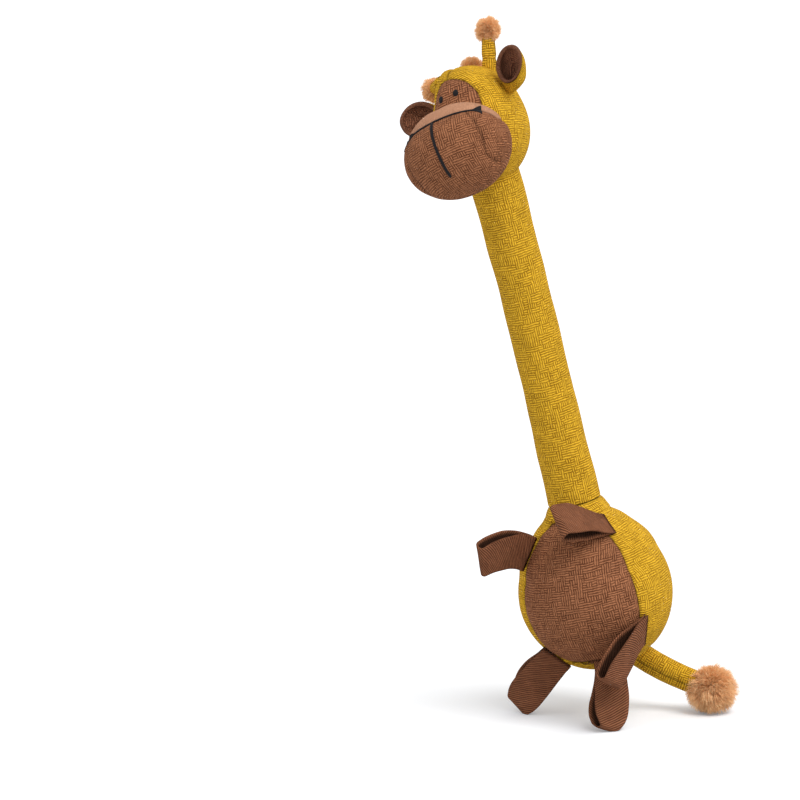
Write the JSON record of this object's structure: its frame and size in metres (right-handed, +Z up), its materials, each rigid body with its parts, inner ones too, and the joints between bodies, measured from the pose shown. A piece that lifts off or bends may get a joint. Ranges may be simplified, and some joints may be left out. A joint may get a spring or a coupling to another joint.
{
  "type": "plush giraffe",
  "caption": "Standing plush giraffe with a round body, a long bendable neck, a big muzzle, folded tape limbs and fur pompoms.",
  "frame": {"origin": "middle of the bounding box, on the floor plane that the feet and the tail pompom rest on", "axes": "+Z up along the toy's height; the belly and the face look towards -Y; +X is the toy's left"},
  "size_m": [0.2664, 0.186, 0.5651],
  "materials": {
    "twill_tape": "matte twill",
    "mustard_cloth": "matte basket weave",
    "brown_cloth": "matte basket weave",
    "stuffing": "loose fibre",
    "peach_fur": "soft long pile",
    "black_thread": "satin embroidery",
    "squeaker_plastic": "satin",
    "bead_pouch": "matte cloth"
  },
  "bodies": {
    "torso": {"belly_panel": "brown_cloth", "back_panel_left": "mustard_cloth", "back_panel_right": "mustard_cloth", "body_stuffing": "stuffing", "squeaker_case": "squeaker_plastic", "squeaker_reed": "squeaker_plastic", "weight_pouch": "bead_pouch", "neck_tube": "mustard_cloth"},
    "neck_1": {"neck_stuffing_1": "stuffing"},
    "neck_2": {"neck_stuffing_2": "stuffing"},
    "neck_3": {"neck_stuffing_3": "stuffing"},
    "neck_4": {"neck_stuffing_4": "stuffing"},
    "neck_5": {"neck_stuffing_5": "stuffing"},
    "neck_6": {"neck_stuffing_6": "stuffing"},
    "neck_7": {"neck_stuffing_7": "stuffing"},
    "head": {"head_stuffing": "stuffing", "head_panel_left": "mustard_cloth", "head_panel_right": "mustard_cloth", "face_patch": "brown_cloth", "eye_left": "black_thread", "eye_right": "black_thread", "muzzle_panel": "brown_cloth", "muzzle_bridge": "brown_cloth", "muzzle_stuffing": "stuffing", "mouth_stitch": "black_thread", "nose_stitch": "black_thread", "crown_pompom": "peach_fur"},
    "left_ear": {"ear_left_back": "mustard_cloth", "ear_left_lining": "brown_cloth"},
    "left_horn": {"horn_left": "mustard_cloth", "horn_pompom_left": "peach_fur"},
    "left_arm": {"arm_left": "twill_tape"},
    "left_leg": {"leg_left": "twill_tape"},
    "right_ear": {"ear_right_back": "mustard_cloth", "ear_right_lining": "brown_cloth"},
    "right_horn": {"horn_right": "mustard_cloth", "horn_pompom_right": "peach_fur"},
    "right_arm": {"arm_right": "twill_tape"},
    "right_leg": {"leg_right": "twill_tape"},
    "front_leg": {"leg_front": "twill_tape"},
    "tail": {"tail_cover": "mustard_cloth", "tail_stuffing": "stuffing", "tail_pompom": "peach_fur"}
  },
  "joints": [
    {"name": "neck_bend_1", "type": "hinge", "parent": "torso", "child": "neck_1", "pos_m": [0.00871, 0.02521, 0.18122], "axis": [1, 0, 0], "range_deg": [-27, 27], "deforming": ["neck_tube"]},
    {"name": "neck_bend_2", "type": "hinge", "parent": "neck_1", "child": "neck_2", "pos_m": [0.00083, 0.02265, 0.21797], "axis": [0, 1, 0], "range_deg": [-27, 27], "deforming": ["neck_tube"]},
    {"name": "neck_bend_3", "type": "hinge", "parent": "neck_2", "child": "neck_3", "pos_m": [-0.00724, 0.02003, 0.25466], "axis": [1, 0, 0], "range_deg": [-27, 27], "deforming": ["neck_tube"]},
    {"name": "neck_bend_4", "type": "hinge", "parent": "neck_3", "child": "neck_4", "pos_m": [-0.0155, 0.01735, 0.29132], "axis": [0, 1, 0], "range_deg": [-27, 27], "deforming": ["neck_tube"]},
    {"name": "neck_bend_5", "type": "hinge", "parent": "neck_4", "child": "neck_5", "pos_m": [-0.02394, 0.0146, 0.32792], "axis": [1, 0, 0], "range_deg": [-27, 27], "deforming": ["neck_tube"]},
    {"name": "neck_bend_6", "type": "hinge", "parent": "neck_5", "child": "neck_6", "pos_m": [-0.03258, 0.0118, 0.36448], "axis": [0, 1, 0], "range_deg": [-27, 27], "deforming": ["neck_tube"]},
    {"name": "neck_bend_7", "type": "hinge", "parent": "neck_6", "child": "neck_7", "pos_m": [-0.04141, 0.00893, 0.40099], "axis": [1, 0, 0], "range_deg": [-27, 27], "deforming": ["neck_tube"]},
    {"name": "neck_bend_8", "type": "hinge", "parent": "neck_7", "child": "head", "pos_m": [-0.05042, 0.006, 0.43744], "axis": [0, 1, 0], "range_deg": [-27, 27], "deforming": ["neck_tube"]},
    {"name": "left_ear_flap", "type": "hinge", "parent": "head", "child": "left_ear", "pos_m": [-0.03569, -0.00091, 0.51154], "axis": [0.8387, -0.5293, -0.1282], "range_deg": [-55, 0]},
    {"name": "left_horn_tilt", "type": "hinge", "parent": "head", "child": "left_horn", "pos_m": [-0.05987, 0.02026, 0.53173], "axis": [0.8755, -0.0766, 0.4772], "range_deg": [-40, 40]},
    {"name": "right_ear_flap", "type": "hinge", "parent": "head", "child": "right_ear", "pos_m": [-0.09844, 0.02019, 0.47836], "axis": [0.0569, 0.2315, 0.9712], "range_deg": [-55, 0]},
    {"name": "right_horn_tilt", "type": "hinge", "parent": "head", "child": "right_horn", "pos_m": [-0.10272, 0.0244, 0.50666], "axis": [0.8755, -0.0766, 0.4772], "range_deg": [-10, 80]},
    {"name": "left_arm_swing", "type": "hinge", "parent": "torso", "child": "left_arm", "pos_m": [0.03984, 0.00552, 0.16481], "axis": [-0.6631, 0.3484, 0.6624], "range_deg": [-20, 60]},
    {"name": "right_arm_swing", "type": "hinge", "parent": "torso", "child": "right_arm", "pos_m": [-0.02056, -0.00203, 0.13528], "axis": [0.2946, 0.3163, 0.9018], "range_deg": [-60, 50]},
    {"name": "left_leg_swing", "type": "hinge", "parent": "torso", "child": "left_leg", "pos_m": [0.07601, -0.00182, 0.07734], "axis": [0.1875, -0.3496, 0.918], "range_deg": [-20, 60]},
    {"name": "right_leg_swing", "type": "hinge", "parent": "torso", "child": "right_leg", "pos_m": [-0.00071, 0.00506, 0.0478], "axis": [-0.672, -0.4692, 0.5729], "range_deg": [-30, 50]},
    {"name": "front_leg_swing", "type": "hinge", "parent": "torso", "child": "front_leg", "pos_m": [0.04745, -0.00436, 0.05108], "axis": [0.9368, 0.275, 0.2164], "range_deg": [-15, 45]},
    {"name": "tail_swing", "type": "hinge", "parent": "torso", "child": "tail", "pos_m": [0.04323, 0.06172, 0.04859], "axis": [0.2786, 0.4971, -0.8218], "range_deg": [-45, 45]}
  ]
}
